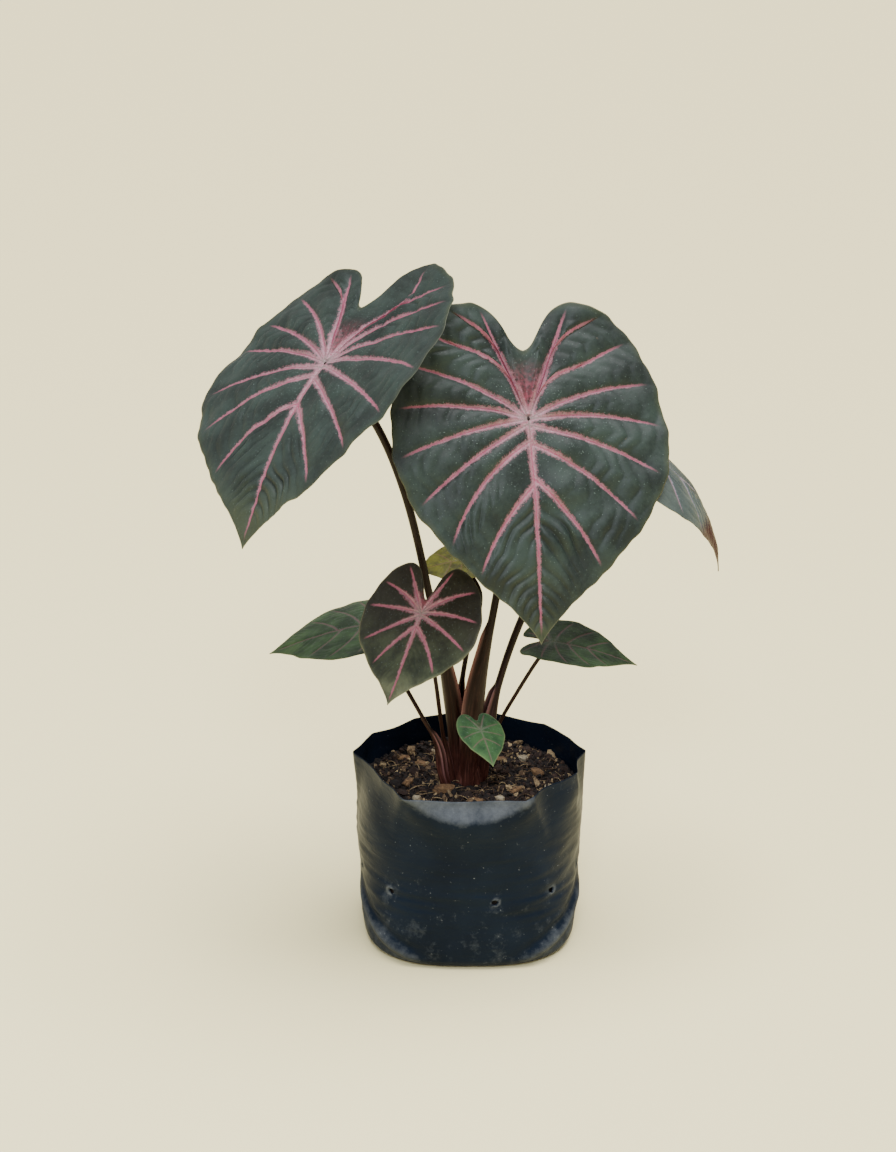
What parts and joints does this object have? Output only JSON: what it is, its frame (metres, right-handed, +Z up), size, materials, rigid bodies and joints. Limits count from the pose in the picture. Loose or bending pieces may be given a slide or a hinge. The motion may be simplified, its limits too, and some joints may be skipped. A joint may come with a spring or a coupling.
{
  "type": "potted elephant ear",
  "caption": "Young elephant ear plant with dark heart-shaped leaves and pink veins on slender petioles, rooted in potting mix in a black polythene nursery bag.",
  "frame": {"origin": "centre of the bag's flat bottom, on the surface that it stands on", "axes": "+Z up out of the bag, -Y towards the front that the largest leaf faces, +X to the right seen from the front"},
  "size_m": [0.3452, 0.2065, 0.464],
  "materials": {
    "polythene_film": "satin black film, creased and dusty",
    "potting_mix": "damp coarse mix of coir, bark and pumice",
    "corm_skin": "rough brown skin",
    "root_skin": "pale fleshy root",
    "mature_blade": "satin quilted leaf, dark grey-green with pink veins",
    "young_blade": "satin leaf, mid green with a pale tip",
    "old_blade": "dull olive leaf, yellowing",
    "petiole_skin": "satin dark maroon-brown stalk, pink at the sheath",
    "bark": "rough bark",
    "pumice": "porous pale lump"
  },
  "bodies": {
    "root": {"nursery_bag": "polythene_film", "potting_mix": "potting_mix", "corm": "corm_skin", "root_1": "root_skin", "root_2": "root_skin", "root_3": "root_skin", "root_4": "root_skin", "root_5": "root_skin", "root_6": "root_skin", "leaf_upper_left": "mature_blade", "petiole_upper_left": "petiole_skin", "leaf_centre": "mature_blade", "petiole_centre": "petiole_skin", "leaf_right_rear": "mature_blade", "petiole_right_rear": "petiole_skin", "leaf_front_left": "mature_blade", "petiole_front_left": "petiole_skin", "leaf_lower_left": "mature_blade", "petiole_lower_left": "petiole_skin", "leaf_lower_right": "mature_blade", "petiole_lower_right": "petiole_skin", "leaf_rear_small": "old_blade", "petiole_rear_small": "petiole_skin", "leaf_front_small": "young_blade", "petiole_front_small": "petiole_skin", "bark_chip_1": "bark", "bark_chip_2": "bark", "bark_chip_3": "bark", "bark_chip_4": "bark", "bark_chip_5": "bark", "bark_chip_6": "bark", "bark_chip_7": "bark", "bark_chip_8": "bark", "pumice_lump_1": "pumice", "pumice_lump_2": "pumice", "pumice_lump_3": "pumice", "pumice_lump_4": "pumice", "pumice_lump_5": "pumice"}
  },
  "joints": []
}
